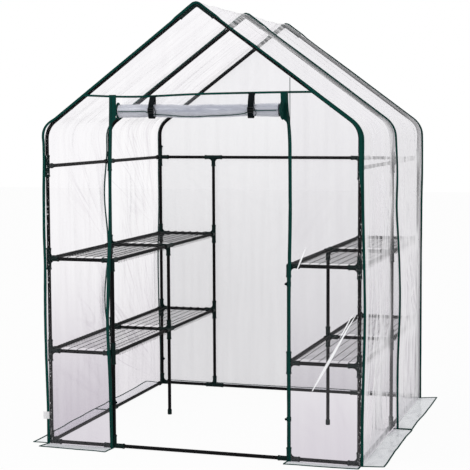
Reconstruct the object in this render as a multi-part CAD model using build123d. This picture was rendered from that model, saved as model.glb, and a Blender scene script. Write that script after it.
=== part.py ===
from build123d import *
import os
from math import atan, cos, pi, sin, sqrt, tan

# Walk-in plastic greenhouse: a tube frame in moulded connectors, two levels of wire mesh
# shelves on each side, and a clear film cover whose door is rolled up and tied.
# Millimetres. The origin is the middle of the footprint on the ground, +Z is up, the door
# faces -Y, and left and right are as seen from the front.

os.makedirs("parts", exist_ok=True)

# Frame, measured between tube axes
frame_width = 1405
frame_depth = 1405
shelf_width = 303
lower_shelf_height = 422
upper_shelf_height = 833
eave_bar_height = 1244
eave_corner_rise = 167
ridge_height = 1932
eave_bend_radius = 95
ridge_bend_radius = 18
eave_bend_leg = 150
ridge_elbow_leg = 95

# Tubes and connectors: radii are to the flats, and few sides keep the many pieces light
tube_sides = 8
socket_sides = 8
tube_radius = 8
socket_wall = 2.5
arm_length = 48
gusset_reach = 27
gusset_thickness = 6
gusset_inset = 0.6
gusset_hollow = 2.5
foot_cap_height = 25
clearance = 0.3

# Wire mesh shelves
wire_width = 3.0
wire_thickness = 2.2
hook_drop = 4
long_wire_count = 3
cross_wire_count = 6
long_wire_inset = 30
mesh_end_clearance = 2

# Film cover
film_thickness = 1.0
header_rise = 146
skirt_width = 90
skirt_split = 4
skirt_corner_gap = 6

# Sewn trim
binding_width = 10
binding_thickness = 2.5
header_tape_width = 12
zipper_tape_width = 9
zipper_tape_top_width = 32
tape_thickness = 1.0
tag_width = 28
tag_height = 33
tag_bottom = 114
tag_overlap = 8

# Rolled door and its ties
roll_radius = 33
roll_drop = 73
roll_end_gap = 2
tie_width = 25
tie_thickness = 1.5
left_tie_x = -195
right_tie_x = 245
buckle_width = 14
buckle_height = 20
buckle_thickness = 5

# Places that follow from the sizes above
half_width = frame_width / 2
half_depth = frame_depth / 2
inner_x = half_width - shelf_width
door_half_width = inner_x
eave_corner_height = eave_bar_height + eave_corner_rise
header_height = eave_corner_height + header_rise
socket_radius = tube_radius + socket_wall
base_height = socket_radius
slope = atan((ridge_height - eave_corner_height) / half_width)
film_offset = socket_radius + clearance
film_outer_offset = film_offset + film_thickness
film_face = half_depth + film_offset
film_outer_face = film_face + film_thickness
wall_top = eave_corner_height - eave_bend_radius * tan((pi / 2 - slope) / 2)
shelf_heights = {"lower": lower_shelf_height, "upper": upper_shelf_height}
sides = {"left": -1, "right": 1}
rows = {"front": -half_depth, "middle": 0, "rear": half_depth}

UP = Vector(0, 0, 1)
DOWN = Vector(0, 0, -1)
FRONT = Vector(0, -1, 0)
REAR = Vector(0, 1, 0)
RIGHT = Vector(1, 0, 0)


def save(name, shapes):
    """Writes one node, as one solid or as several that don't touch."""
    solids = [solid for shape in shapes for solid in shape.solids()]
    export_step(Compound(solids) if len(solids) > 1 else solids[0], f"parts/{name}.step")


def section(radius, sides):
    """A tube's outline, with flats that face along the axes."""
    return RegularPolygon(radius, sides, major_radius=False, rotation=180 / sides)


def rod(start, end, radius, sides, start_gap=0, end_gap=0):
    """A straight bar from start to end, held back from each end by its gap."""
    start = Vector(start)
    along = (Vector(end) - start).normalized()
    length = (Vector(end) - start).length - start_gap - end_gap
    return extrude(Plane(start + along * start_gap, z_dir=along) * section(radius, sides), length)


def tube(start, end):
    """A frame tube between the mouths of the connectors that stand at start and end."""
    return rod(start, end, tube_radius, tube_sides, arm_length, arm_length)


def gusset(centre, first, second):
    """The web between two arms at right angles, with a round hollow edge."""
    edge = socket_radius - gusset_inset
    far = gusset_reach
    middle = (edge + far) / 2 - gusset_hollow / sqrt(2)
    outline = Polyline((edge, far), (0, far), (0, 0), (far, 0), (far, edge))
    hollow = ThreePointArc((far, edge), (middle, middle), (edge, far))
    web = extrude(make_face(outline + hollow), gusset_thickness / 2, both=True)
    return Plane(centre, x_dir=first, z_dir=first.cross(second)) * web


def connector(centre, arms, webs=()):
    """A moulded connector: one socket arm along each direction, and webs between pairs."""
    centre = Vector(centre)
    shape = Part()
    for axis in (RIGHT, REAR, UP):
        ahead = arm_length if axis in arms else socket_radius
        behind = arm_length if axis * -1 in arms else socket_radius
        if arm_length in (ahead, behind):
            ends = centre - axis * behind, centre + axis * ahead
            shape += rod(*ends, socket_radius, socket_sides)
    for first, second in webs:
        shape += gusset(centre, first, second)
    return shape


def arch_face(offset):
    """The greenhouse's front outline, from the ground up, moved out from the tube axes."""
    side = half_width + offset
    apex = ridge_height + offset / cos(slope)
    corner = apex - side * tan(slope)
    eave_radius = eave_bend_radius + offset
    outline = FilletPolyline(
        (-side, 0),
        (-side, corner),
        (0, apex),
        (side, corner),
        (side, 0),
        radius=[eave_radius, ridge_bend_radius + offset, eave_radius],
    )
    return Plane.XZ * make_face(outline + Line(outline @ 1, outline @ 0))


def window(x_from, x_to, z_from, z_to):
    """A rectangle in the front plane, used to cut an outline into panels."""
    place = Pos((x_from + x_to) / 2, (z_from + z_to) / 2)
    return Plane.XZ * place * Rectangle(x_to - x_from, z_to - z_from)


def slab(face, y_from, y_to):
    """A face of the front plane, made solid between two depths."""
    return Pos(0, y_from, 0) * extrude(face, y_to - y_from, dir=(0, 1, 0))


def block(x_from, x_to, y_from, y_to, z_from, z_to):
    """A plain box between two corners."""
    middle = Pos((x_from + x_to) / 2, (y_from + y_to) / 2, (z_from + z_to) / 2)
    return middle * Box(x_to - x_from, y_to - y_from, z_to - z_from)


def mirrored(shape):
    """The same piece on the other side of the greenhouse."""
    return mirror(shape, Plane.YZ)


def both_sides(shape):
    return [shape, mirrored(shape)]


# Base ring on the ground: a threshold bar, a rear bar and two side bars


def base_tubes_across(y):
    points = [-half_width, -inner_x, inner_x, half_width]
    return [tube((a, y, base_height), (b, y, base_height)) for a, b in zip(points, points[1:])]


def base_tubes_along(x):
    points = list(rows.values())
    return [tube((x, a, base_height), (x, b, base_height)) for a, b in zip(points, points[1:])]


def base_connectors(side):
    out = RIGHT * side
    inward = out * -1
    shapes = []
    for y, along in ((rows["front"], REAR), (rows["rear"], FRONT)):
        corner = (side * half_width, y, base_height)
        shapes.append(connector(corner, [UP, inward, along], [(inward, UP), (along, UP)]))
        tee = (side * inner_x, y, base_height)
        shapes.append(connector(tee, [UP, inward, out], [(out, UP)]))
    middle = (side * half_width, 0, base_height)
    shapes.append(connector(middle, [UP, FRONT, REAR], [(FRONT, UP), (REAR, UP)]))
    return shapes


save("front_base_tubes", base_tubes_across(rows["front"]))
save("rear_base_tubes", base_tubes_across(rows["rear"]))
save("side_base_tubes", base_tubes_along(-half_width) + base_tubes_along(half_width))
save("base_connectors", base_connectors(-1) + base_connectors(1))


# Posts, in lengths that end in the connectors at each level


def post(x, y, heights):
    return [tube((x, y, a), (x, y, b)) for a, b in zip(heights, heights[1:])]


def outer_posts(side):
    heights = [base_height, lower_shelf_height, upper_shelf_height, eave_bar_height]
    return [length for y in rows.values() for length in post(side * half_width, y, heights)]


def inner_posts(side):
    x = side * inner_x
    low = [base_height, lower_shelf_height, upper_shelf_height]
    foot = (x, 0, foot_cap_height)
    lengths = post(x, rows["front"], low) + post(x, rows["rear"], low + [eave_bar_height])
    lengths.append(rod(foot, (x, 0, lower_shelf_height), tube_radius, tube_sides, 0, arm_length))
    return lengths + post(x, 0, [lower_shelf_height, upper_shelf_height])


def foot_cap(side):
    x = side * inner_x
    return rod((x, 0, 0), (x, 0, foot_cap_height), socket_radius, socket_sides)


for name, side in sides.items():
    save(f"{name}_outer_posts", outer_posts(side))
    save(f"{name}_inner_posts", inner_posts(side))
save("foot_caps", [foot_cap(side) for side in sides.values()])


# Shelf rails along the depth, cross bars at each row of posts, and their connectors


def shelf_rails(side, height):
    depths = list(rows.values())
    tubes = []
    for x in (side * inner_x, side * half_width):
        tubes += [tube((x, a, height), (x, b, height)) for a, b in zip(depths, depths[1:])]
    for y in depths:
        tubes.append(tube((side * inner_x, y, height), (side * half_width, y, height)))
    return tubes


def shelf_connectors(side, level):
    height = shelf_heights[level]
    along = {"front": [REAR], "middle": [FRONT, REAR], "rear": [FRONT]}
    shapes = []
    for row, y in rows.items():
        for x, across in ((side * half_width, RIGHT * -side), (side * inner_x, RIGHT * side)):
            ends_here = level == "upper" and abs(x) == inner_x and row != "rear"
            uprights = [DOWN] if ends_here else [DOWN, UP]
            webs = [(across, upright) for upright in uprights]
            shapes.append(connector((x, y, height), [across] + along[row] + uprights, webs))
    return shapes


for name, side in sides.items():
    for level, height in shelf_heights.items():
        save(f"{name}_{level}_shelf_rails", shelf_rails(side, height))
        save(f"{name}_{level}_shelf_connectors", shelf_connectors(side, level))


# Wire mesh shelves: cross wires lie on the two rails and hook down past them


def mesh_shelf(side, y_from, y_to, rail_height):
    overhang = tube_radius + clearance + wire_thickness
    low_x, high_x = inner_x - overhang, half_width + overhang
    bottom = rail_height + tube_radius + clearance
    top = bottom + wire_thickness
    hook_end = rail_height - tube_radius - hook_drop
    first, last = y_from + wire_width / 2, y_to - wire_width / 2
    pitch = (last - first) / (cross_wire_count - 1)
    shape = Part()
    for index in range(cross_wire_count):
        y = first + index * pitch
        near, far = y - wire_width / 2, y + wire_width / 2
        shape += block(low_x, high_x, near, far, bottom, top)
        shape += block(low_x, low_x + wire_thickness, near, far, hook_end, top)
        shape += block(high_x - wire_thickness, high_x, near, far, hook_end, top)
    span = shelf_width - 2 * long_wire_inset
    for index in range(long_wire_count):
        x = inner_x + long_wire_inset + index * span / (long_wire_count - 1)
        shape += block(x - wire_width / 2, x + wire_width / 2, y_from, y_to, bottom, top)
    return shape if side > 0 else mirrored(shape)


def mesh_shelves(side, rail_height):
    inset = arm_length + mesh_end_clearance
    return [
        mesh_shelf(side, rows["front"] + inset, -inset, rail_height),
        mesh_shelf(side, inset, rows["rear"] - inset, rail_height),
    ]


for name, side in sides.items():
    for level, height in shelf_heights.items():
        save(f"{name}_{level}_mesh_shelves", mesh_shelves(side, height))


# Bars at the eaves: one along each side and one across the rear, with none over the door


def eave_connectors(side):
    out = RIGHT * side
    inward = out * -1
    x = side * half_width
    high = eave_bar_height
    tee_webs = [(inward, DOWN), (out, DOWN)]
    return [
        connector((x, rows["front"], high), [UP, DOWN, REAR], [(REAR, DOWN)]),
        connector((x, 0, high), [UP, DOWN, FRONT, REAR], [(FRONT, DOWN), (REAR, DOWN)]),
        connector((x, rows["rear"], high), [UP, DOWN, FRONT, inward]),
        connector((side * inner_x, rows["rear"], high), [DOWN, inward, out], tee_webs),
    ]


def eave_bar(x):
    depths = list(rows.values())
    pairs = zip(depths, depths[1:])
    return [tube((x, a, eave_bar_height), (x, b, eave_bar_height)) for a, b in pairs]


def rear_eave_bar():
    y = rows["rear"]
    points = [-half_width, -inner_x, inner_x, half_width]
    pairs = zip(points, points[1:])
    return [tube((a, y, eave_bar_height), (b, y, eave_bar_height)) for a, b in pairs]


save("side_eave_bars", eave_bar(-half_width) + eave_bar(half_width))
save("rear_eave_bar", rear_eave_bar())
save("eave_connectors", eave_connectors(-1) + eave_connectors(1))


# Roof arches: a bent tube from each eave, a straight rafter, and an elbow at the ridge


def roof_point(distance_from_ridge):
    """A point on the right rafter's axis, in the front plane."""
    return (distance_from_ridge * cos(slope), ridge_height - distance_from_ridge * sin(slope))


def bent_rod(points, radius, sides, bend_radius):
    """A bar through three points of the front plane, with a round bend at the middle."""
    path = Plane.XZ * FilletPolyline(*points, radius=bend_radius)
    start = Plane(path @ 0, x_dir=(0, 1, 0), z_dir=path % 0)
    return sweep(start * section(radius, sides), path=path)


def arch_tubes(y):
    rafter_length = half_width / cos(slope)
    corner = (half_width, eave_corner_height)
    start = (half_width, eave_bar_height + arm_length)
    joint = roof_point(rafter_length - eave_bend_leg)
    bend = bent_rod([start, corner, joint], tube_radius, tube_sides, eave_bend_radius)
    mouth = roof_point(ridge_elbow_leg)
    rafter = rod((joint[0], 0, joint[1]), (mouth[0], 0, mouth[1]), tube_radius, tube_sides)
    return [Pos(0, y, 0) * shape for piece in (bend, rafter) for shape in both_sides(piece)]


def ridge_elbow(y):
    right = roof_point(ridge_elbow_leg)
    points = [(-right[0], right[1]), (0, ridge_height), right]
    return Pos(0, y, 0) * bent_rod(points, socket_radius, socket_sides, ridge_bend_radius)


for row, y in rows.items():
    save(f"{row}_arch_tubes", arch_tubes(y))
save("ridge_elbows", [ridge_elbow(y) for y in rows.values()])


# Film cover, just outside the connectors


def cover_section():
    return arch_face(film_outer_offset) - arch_face(film_offset)


def wall_film():
    part = cover_section() & window(0, frame_width, 0, wall_top)
    return slab(part, -film_face, film_face)


def roof_film():
    part = cover_section() & window(0, frame_width, wall_top, 2 * ridge_height)
    return slab(part, -film_face, film_face)


def front_film(x_from, x_to, z_from, z_to):
    panel = arch_face(film_outer_offset) & window(x_from, x_to, z_from, z_to)
    return slab(panel, -film_outer_face, -film_face)


front_side_film = front_film(door_half_width, frame_width, 0, header_height)
save("left_wall_film", [mirrored(wall_film())])
save("right_wall_film", [wall_film()])
save("left_roof_film", [mirrored(roof_film())])
save("right_roof_film", [roof_film()])
save("front_left_film", [mirrored(front_side_film)])
save("front_right_film", [front_side_film])
save("front_gable_film", [front_film(-frame_width, frame_width, header_height, 2 * ridge_height)])
save("rear_wall_film", [slab(arch_face(film_outer_offset), film_face, film_outer_face)])


# Ground skirts: flaps that lie on the ground outside the walls

wall_outer = half_width + film_outer_offset


def side_skirt():
    low, high = wall_outer, wall_outer + skirt_width
    end = film_outer_face - skirt_corner_gap
    near = block(low, high, -end, -skirt_split / 2, 0, film_thickness)
    return [near, mirror(near, Plane.XZ)]


def front_skirt():
    return block(
        door_half_width,
        wall_outer - skirt_corner_gap,
        -film_outer_face - skirt_width,
        -film_outer_face,
        0,
        film_thickness,
    )


def rear_skirt():
    end = wall_outer - skirt_corner_gap
    return block(-end, end, film_outer_face, film_outer_face + skirt_width, 0, film_thickness)


save("left_skirt", [mirrored(flap) for flap in side_skirt()])
save("right_skirt", side_skirt())
save("front_skirts", both_sides(front_skirt()))
save("rear_skirt", [rear_skirt()])


# Sewn trim: bindings that stand out along the seams, header tape and zipper tapes


def seam_binding(y_from, y_to):
    low = film_outer_offset + clearance / 2
    ring = arch_face(low + binding_width) - arch_face(low)
    above_skirt = window(-frame_width, frame_width, film_thickness + clearance, 2 * ridge_height)
    return slab(ring & above_skirt, y_from, y_to)


def header_tape():
    """A strip across the front, where the gable panel meets the door and side panels."""
    low, high = header_height - header_tape_width / 2, header_height + header_tape_width / 2
    panel = arch_face(film_outer_offset) & window(-frame_width, frame_width, low, high)
    front = film_outer_face + clearance
    return slab(panel, -front - tape_thickness, -front)


def zipper_tape():
    """One side of the door's zipper. Beside the roll the door's own half hangs next to it."""
    top = header_height - header_tape_width / 2 - clearance
    wide_from = header_height - roll_drop - roll_radius
    outer = door_half_width + zipper_tape_width / 2
    bottom = film_thickness + clearance
    narrow = window(outer - zipper_tape_width, outer, bottom, top)
    wide = window(outer - zipper_tape_top_width, outer, wide_from, top)
    front = film_outer_face + clearance
    return slab(narrow + wide, -front - tape_thickness, -front)


def care_tag():
    """A small blank tag sewn into the front left seam."""
    right = tag_overlap - half_width - film_outer_offset
    front = -film_face - binding_thickness - clearance
    top = tag_bottom + tag_height
    return block(right - tag_width, right, front - tape_thickness, front, tag_bottom, top)


save("front_seam_binding", [seam_binding(-film_face - binding_thickness, -film_face)])
save("middle_seam_binding", [seam_binding(-binding_thickness / 2, binding_thickness / 2)])
save("rear_seam_binding", [seam_binding(film_face, film_face + binding_thickness)])
save("header_tape", [header_tape()])
save("door_zipper_tapes", both_sides(zipper_tape()))
save("care_tag", [care_tag()])


# Rolled-up door under the header, held by two ties

roll_y = -film_face - roll_radius
roll_z = header_height - roll_drop
tape_bottom = header_height - header_tape_width / 2 - clearance


def rolled_door():
    end = door_half_width + zipper_tape_width / 2 - zipper_tape_top_width - roll_end_gap
    roll = Solid.make_cylinder(roll_radius, 2 * end, Plane((-end, roll_y, roll_z), z_dir=(1, 0, 0)))
    hanging = block(-end, end, -film_outer_face, -film_face, roll_z, header_height - clearance)
    return Part() + roll + hanging


def tie_outline(gap, top):
    """The outline round the roll and the film that it hangs by, in the side plane."""
    roll = Pos(roll_y, roll_z) * Circle(roll_radius + gap)
    height = top - roll_z
    middle = Pos(-(film_face + film_outer_face) / 2, roll_z + height / 2)
    hanging = middle * Rectangle(film_thickness + 2 * gap, height)
    return Plane.YZ * make_hull(roll.edges() + hanging.edges())


def door_tie(x):
    band = tie_outline(clearance + tie_thickness, tape_bottom) - tie_outline(clearance, header_height)
    return Pos(x - tie_width / 2, 0, 0) * extrude(band, tie_width, dir=(1, 0, 0))


def tie_buckle(x):
    front = roll_y - roll_radius - tie_thickness - 2 * clearance
    return block(
        x - buckle_width / 2,
        x + buckle_width / 2,
        front - buckle_thickness,
        front,
        roll_z - buckle_height / 2,
        roll_z + buckle_height / 2,
    )


save("rolled_door", [rolled_door()])
save("door_ties", [door_tie(left_tie_x), door_tie(right_tie_x)])
save("tie_buckles", [tie_buckle(left_tie_x), tie_buckle(right_tie_x)])
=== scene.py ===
# Walk-in plastic greenhouse: the finish of every piece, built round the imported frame.
# Metres, in the part's own frame: the origin is the middle of the footprint on the ground,
# the door faces -Y, +X is to the right from the front and +Z is up.

from math import acos, atan, atan2, cos, hypot, pi, radians, sin, tan

import bpy
import numpy as np
from mathutils import Matrix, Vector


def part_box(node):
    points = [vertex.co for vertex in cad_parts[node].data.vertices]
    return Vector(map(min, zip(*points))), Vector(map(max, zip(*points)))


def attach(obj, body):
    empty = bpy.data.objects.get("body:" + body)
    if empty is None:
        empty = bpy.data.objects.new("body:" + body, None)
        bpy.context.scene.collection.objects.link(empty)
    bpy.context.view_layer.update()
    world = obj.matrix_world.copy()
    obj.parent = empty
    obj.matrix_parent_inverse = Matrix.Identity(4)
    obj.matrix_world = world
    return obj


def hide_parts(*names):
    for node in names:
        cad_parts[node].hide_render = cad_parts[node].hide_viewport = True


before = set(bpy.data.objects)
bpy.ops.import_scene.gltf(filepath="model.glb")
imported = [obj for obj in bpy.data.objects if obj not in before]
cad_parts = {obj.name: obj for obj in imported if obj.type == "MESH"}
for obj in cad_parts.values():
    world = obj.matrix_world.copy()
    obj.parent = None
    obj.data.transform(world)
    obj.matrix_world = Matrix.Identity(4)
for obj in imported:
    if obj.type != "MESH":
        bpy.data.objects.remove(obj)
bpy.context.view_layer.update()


def box_middle(node, axis):
    low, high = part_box(node)
    return (low[axis] + high[axis]) / 2


# Sizes read from the frame
posts_low, posts_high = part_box("right_outer_posts")
wall_low, wall_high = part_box("right_wall_film")
tube_radius = (posts_high[0] - posts_low[0]) / 2
half_width = box_middle("right_outer_posts", 0)
half_depth = posts_high[1] - tube_radius
inner_x = box_middle("right_inner_posts", 0)
base_bar = box_middle("side_base_tubes", 2)
lower_rail = box_middle("right_lower_shelf_rails", 2)
upper_rail = box_middle("right_upper_shelf_rails", 2)
eave_bar = box_middle("side_eave_bars", 2)
wall_top = wall_high[2]
film_gap = wall_low[0] - half_width
film_thickness = wall_high[0] - wall_low[0]
film_middle = film_gap + film_thickness / 2
panel_y = half_depth + film_middle
header_height = box_middle("header_tape", 2)
door_half_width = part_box("front_right_film")[0][0]
skirt_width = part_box("right_skirt")[1][0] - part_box("right_skirt")[0][0]
rows = (-half_depth, 0.0, half_depth)
row_names = ("front", "middle", "rear")
levels = (base_bar, lower_rail, upper_rail, eave_bar)
both_sides = (("left", -1), ("right", 1))

# Sizes of the arches, as they are bent
ridge_height = 1.932
eave_corner_height = 1.411
eave_bend = 0.095
ridge_bend = 0.018
ridge_elbow_leg = 0.095
eave_bend_leg = 0.150
arm_length = 0.048
socket_radius = 0.0105
slope = atan((ridge_height - eave_corner_height) / half_width)

# Lengths along an arch, from the ridge down to the ground
ridge_centre = ridge_height - ridge_bend / cos(slope)
ridge_end = ridge_bend * slope
rafter_start_x = ridge_bend * sin(slope)
rafter_start_z = ridge_centre + ridge_bend * cos(slope)
eave_centre_x = half_width - eave_bend
rafter_end_x = eave_centre_x + eave_bend * sin(slope)
rafter_end = ridge_end + (rafter_end_x - rafter_start_x) / cos(slope)
eave_end = rafter_end + eave_bend * (pi / 2 - slope)
arch_length = eave_end + wall_top
ridge_mouth = ridge_end + ridge_elbow_leg - ridge_bend * tan(slope)
bend_foot = arch_length - eave_bar - arm_length
bend_joint = rafter_end + eave_bend * tan((pi / 2 - slope) / 2) - eave_bend_leg


def outline(s, offset=0.0):
    """Places on the arch, s metres from the ridge and to the right if s > 0, moved out by offset."""
    side = np.where(s < 0, -1.0, 1.0)
    d = np.abs(s)
    zones = [d < ridge_end, d < rafter_end, d < eave_end]
    bend = slope + (d - rafter_end) / eave_bend
    angle = np.select(zones, [d / ridge_bend, slope, bend], pi / 2)
    out_x, out_z = np.sin(angle), np.cos(angle)
    along = d - ridge_end
    rafter_x = rafter_start_x + along * cos(slope)
    rafter_z = rafter_start_z - along * sin(slope)
    x = np.select(zones, [ridge_bend * out_x, rafter_x, eave_centre_x + eave_bend * out_x], half_width)
    bends_z = [ridge_centre + ridge_bend * out_z, rafter_z, wall_top + eave_bend * out_z]
    z = np.select(zones, bends_z, arch_length - d)
    return side * (x + offset * out_x), z + offset * out_z


def step(value, low, high):
    """0 below low, 1 above high, and a smooth rise between them."""
    t = np.clip((value - low) / (high - low), 0, 1)
    return t * t * (3 - 2 * t)


noise_cells = 128


def noise(u, v, size_u, size_v, seed):
    """Smooth values from -1 to 1 that change over size_u and size_v metres."""
    table = np.random.RandomState(seed).uniform(-1, 1, (noise_cells, noise_cells))
    u, v = np.asarray(u) / size_u + 61.3, np.asarray(v) / size_v + 57.7
    iu, iv = np.floor(u).astype(int), np.floor(v).astype(int)
    fu, fv = step(u - iu, 0, 1), step(v - iv, 0, 1)
    corner = [table[(iu + a) % noise_cells, (iv + b) % noise_cells] for a in (0, 1) for b in (0, 1)]
    near = corner[0] * (1 - fv) + corner[1] * fv
    far = corner[2] * (1 - fv) + corner[3] * fv
    return near * (1 - fu) + far * fu


def wander(along, size, seed):
    """Smooth values from -1 to 1 along one line."""
    return noise(along, 0 * along, size, 1.0, seed)


# Making meshes

smooth_angle = 35
film_smooth_angle = 80


def new_mesh(name, points, faces):
    mesh = bpy.data.meshes.new(name)
    mesh.from_pydata(points, [], faces)
    return mesh


def new_object(name, data):
    item = bpy.data.objects.new(name, data)
    bpy.context.scene.collection.objects.link(item)
    return item


class Shapes:
    """Points and faces of one piece, gathered from many simple shapes."""

    def __init__(self):
        self.points = []
        self.faces = []

    def loft(self, rings):
        """Joins rings that have as many points each, and caps both ends."""
        count = len(rings[0])
        first = len(self.points)
        self.points += [tuple(map(float, point)) for ring in rings for point in ring]
        for row in range(first, len(self.points) - count, count):
            for k in range(count):
                a, b = row + k, row + (k + 1) % count
                self.faces.append((a, b, b + count, a + count))
        self.faces.append(tuple(range(first, first + count))[::-1])
        self.faces.append(tuple(range(len(self.points) - count, len(self.points))))

    def sweep(self, path, section, up):
        """Carries a section of (sideways, upwards) points along a path of points."""
        path, up = np.asarray(path, float), np.asarray(up, float)
        along = np.gradient(path, axis=0)
        along /= np.linalg.norm(along, axis=1)[:, None]
        sideways = np.cross(along, up)
        sideways /= np.linalg.norm(sideways, axis=1)[:, None]
        upwards = np.cross(sideways, along)
        self.loft([[p + a * s + b * u for a, b in section] for p, s, u in zip(path, sideways, upwards)])

    def lathe(self, start, axis, profile, sides=20):
        """A round bar: profile lists (distance along the axis, radius)."""
        start, axis = np.asarray(start, float), np.asarray(axis, float)
        axis = axis / np.linalg.norm(axis)
        helper = np.array((0, 0, 1.0)) if abs(axis[2]) < 0.9 else np.array((1.0, 0, 0))
        first = np.cross(helper, axis)
        first /= np.linalg.norm(first)
        second = np.cross(axis, first)
        turns = [2 * pi * k / sides for k in range(sides)]
        circle = [first * cos(t) + second * sin(t) for t in turns]
        self.loft([[start + axis * d + c * r for c in circle] for d, r in profile])

    def make(self, name, material, nodes=()):
        """The Blender object, riding on the part's only body and standing for these nodes."""
        mesh = new_mesh(name, self.points, self.faces)
        mesh.validate()
        finish_piece(mesh, name, material, nodes, smooth_angle)


def finish_piece(mesh, name, material, nodes, angle):
    mesh.polygons.foreach_set("use_smooth", [True] * len(mesh.polygons))
    mesh.set_sharp_from_angle(angle=radians(angle))
    mesh.materials.append(material)
    piece = new_object(name, mesh)
    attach(piece, "root")
    if nodes:
        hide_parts(*nodes)
    return piece


def round_section(radius, sides=16):
    turns = [2 * pi * k / sides for k in range(sides)]
    return [(radius * cos(t), radius * sin(t)) for t in turns]


def flat_section(width, thickness):
    """A strap's section, width across and thickness up, with eased edges."""
    w, t = width / 2, thickness / 2
    e = 0.3 * t
    lower = [(-w, -t + e), (-w + e, -t), (w - e, -t), (w, -t + e)]
    return lower + [(-across, -up) for across, up in lower]


def solids(node):
    """The points of each separate solid of a CAD node."""
    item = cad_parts[node]
    keys = [tuple(np.round(np.array(item.matrix_world @ v.co), 5)) for v in item.data.vertices]
    parent = {key: key for key in keys}

    def root(key):
        while parent[key] != key:
            parent[key] = parent[parent[key]]
            key = parent[key]
        return key

    for edge in item.data.edges:
        a, b = (root(keys[index]) for index in edge.vertices)
        parent[a] = b
    groups = {}
    for key in parent:
        groups.setdefault(root(key), []).append(key)
    return [np.array(group) for _, group in sorted(groups.items())]


# Materials

# How milky the film looks at a slant, on its clear and its cloudy streaks and over the roof
slant_power = 9.0
slant_haze = (3.7, 6.0)
roof_haze = 0.25
skirt_haze = 0.15
film_roughness = 0.16
full_milk = 0.97

# Fine creases that fan out over the walls, painted as shaded lines, and the painted white glints on the front
fan_density = 9.0
fan_line_width = 0.022
fan_strength = 0.32
painted_glint_colour = (0.98, 0.98, 1.0)
painted_glint_cover = 0.92

# How fast the streaks change along each axis: on the panels, and on the cover, where they run down its slope
panel_grain = (24, 24, 1.6)
cover_grain = (1.6, 22, 1.6)


def add(tree, kind, values=None, **settings):
    """A shader node, with links from sockets or plain values on its inputs."""
    node = tree.nodes.new("ShaderNode" + kind)
    for key, value in settings.items():
        setattr(node, key, value)
    for key, value in (values or {}).items():
        if isinstance(value, bpy.types.NodeSocket):
            tree.links.new(value, node.inputs[key])
        else:
            node.inputs[key].default_value = value
    return node


def blank_material(name):
    material = bpy.data.materials.new(name)
    material.use_nodes = True
    material.node_tree.nodes.clear()
    return material, material.node_tree


def calc(tree, operation, *values):
    return add(tree, "Math", dict(enumerate(values)), operation=operation).outputs[0]


def vector_calc(tree, operation, *values):
    node = add(tree, "VectorMath", dict(enumerate(values)), operation=operation)
    return node.outputs["Value" if operation in ("LENGTH", "DISTANCE", "DOT_PRODUCT") else "Vector"]


def value_between(tree, value, low, high, to_low, to_high):
    names = {"Value": value, "From Min": low, "From Max": high, "To Min": to_low, "To Max": to_high}
    return add(tree, "MapRange", names).outputs["Result"]


def colour_between(tree, factor, first, second):
    ramp = add(tree, "ValToRGB", {"Fac": factor})
    ramp.color_ramp.elements[0].color = (*first, 1)
    ramp.color_ramp.elements[1].color = (*second, 1)
    return ramp.outputs["Color"]


def mixed(tree, share, first, second):
    return add(tree, "MixShader", {0: share, 1: first, 2: second}).outputs[0]


def place(tree):
    return add(tree, "TexCoord").outputs["Object"]


def place_parts(tree):
    return add(tree, "SeparateXYZ", {0: place(tree)}).outputs


def stretched_noise(tree, scale, detail=3.0):
    stretched = add(tree, "Mapping", {"Vector": place(tree), "Scale": scale}).outputs[0]
    return add(tree, "TexNoise", {"Vector": stretched, "Scale": 1.0, "Detail": detail}).outputs["Fac"]


def fan_lines(tree, axis, side, root_u, root_v, angle_from, angle_to, reach, seed):
    """Painted shade along fine creases that run out from one place on a wall, on one side of the greenhouse.
    """
    parts = place_parts(tree)
    du = calc(tree, "SUBTRACT", parts[axis], root_u)
    dv = calc(tree, "SUBTRACT", parts["Z"], root_v)
    angle = calc(tree, "ARCTAN2", dv, du)
    distance = vector_calc(tree, "LENGTH", add(tree, "CombineXYZ", {0: du, 1: dv}).outputs[0])
    turned = calc(tree, "MULTIPLY", angle, fan_density)
    spot = add(tree, "CombineXYZ", {0: turned, 1: distance, 2: float(seed)}).outputs[0]
    waves = add(tree, "TexNoise", {"Vector": spot, "Scale": 1.0, "Detail": 1.0}).outputs["Fac"]
    away = calc(tree, "ABSOLUTE", calc(tree, "SUBTRACT", waves, 0.5))
    lines = value_between(tree, away, 0.0, fan_line_width, 1.0, 0.0)
    limits = (
        value_between(tree, angle, radians(angle_from - 6), radians(angle_from), 0.0, 1.0),
        value_between(tree, angle, radians(angle_to), radians(angle_to + 6), 1.0, 0.0),
        value_between(tree, distance, 0.04, 0.16, 0.0, 1.0),
        value_between(tree, distance, reach * 0.6, reach, 1.0, 0.0),
        calc(tree, "GREATER_THAN", calc(tree, "MULTIPLY", parts["X"], float(side)), -0.02),
    )
    for limit in limits:
        lines = calc(tree, "MULTIPLY", lines, limit)
    return lines


def painted_glint_line(tree, start, end, width):
    """Painted highlight: a white streak along a pinched fold between two (x, z) places of the front plane."""
    run = (end[0] - start[0], 0.0, end[1] - start[1])
    flat = vector_calc(tree, "MULTIPLY", place(tree), (1.0, 0.0, 1.0))
    offset = vector_calc(tree, "SUBTRACT", flat, (start[0], 0.0, start[1]))
    along = vector_calc(tree, "DOT_PRODUCT", offset, run)
    share = value_between(tree, along, 0.0, run[0] ** 2 + run[2] ** 2, 0.0, 1.0)
    gap = vector_calc(tree, "DISTANCE", offset, vector_calc(tree, "MULTIPLY", run, share))
    bow = calc(tree, "MULTIPLY", share, calc(tree, "SUBTRACT", 1.0, share))
    local_width = calc(tree, "MULTIPLY_ADD", bow, 2.8 * width, 0.3 * width)
    inner, outer = (calc(tree, "MULTIPLY", local_width, part) for part in (0.35, 0.65))
    return value_between(tree, gap, inner, outer, 1.0, 0.0)


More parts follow.
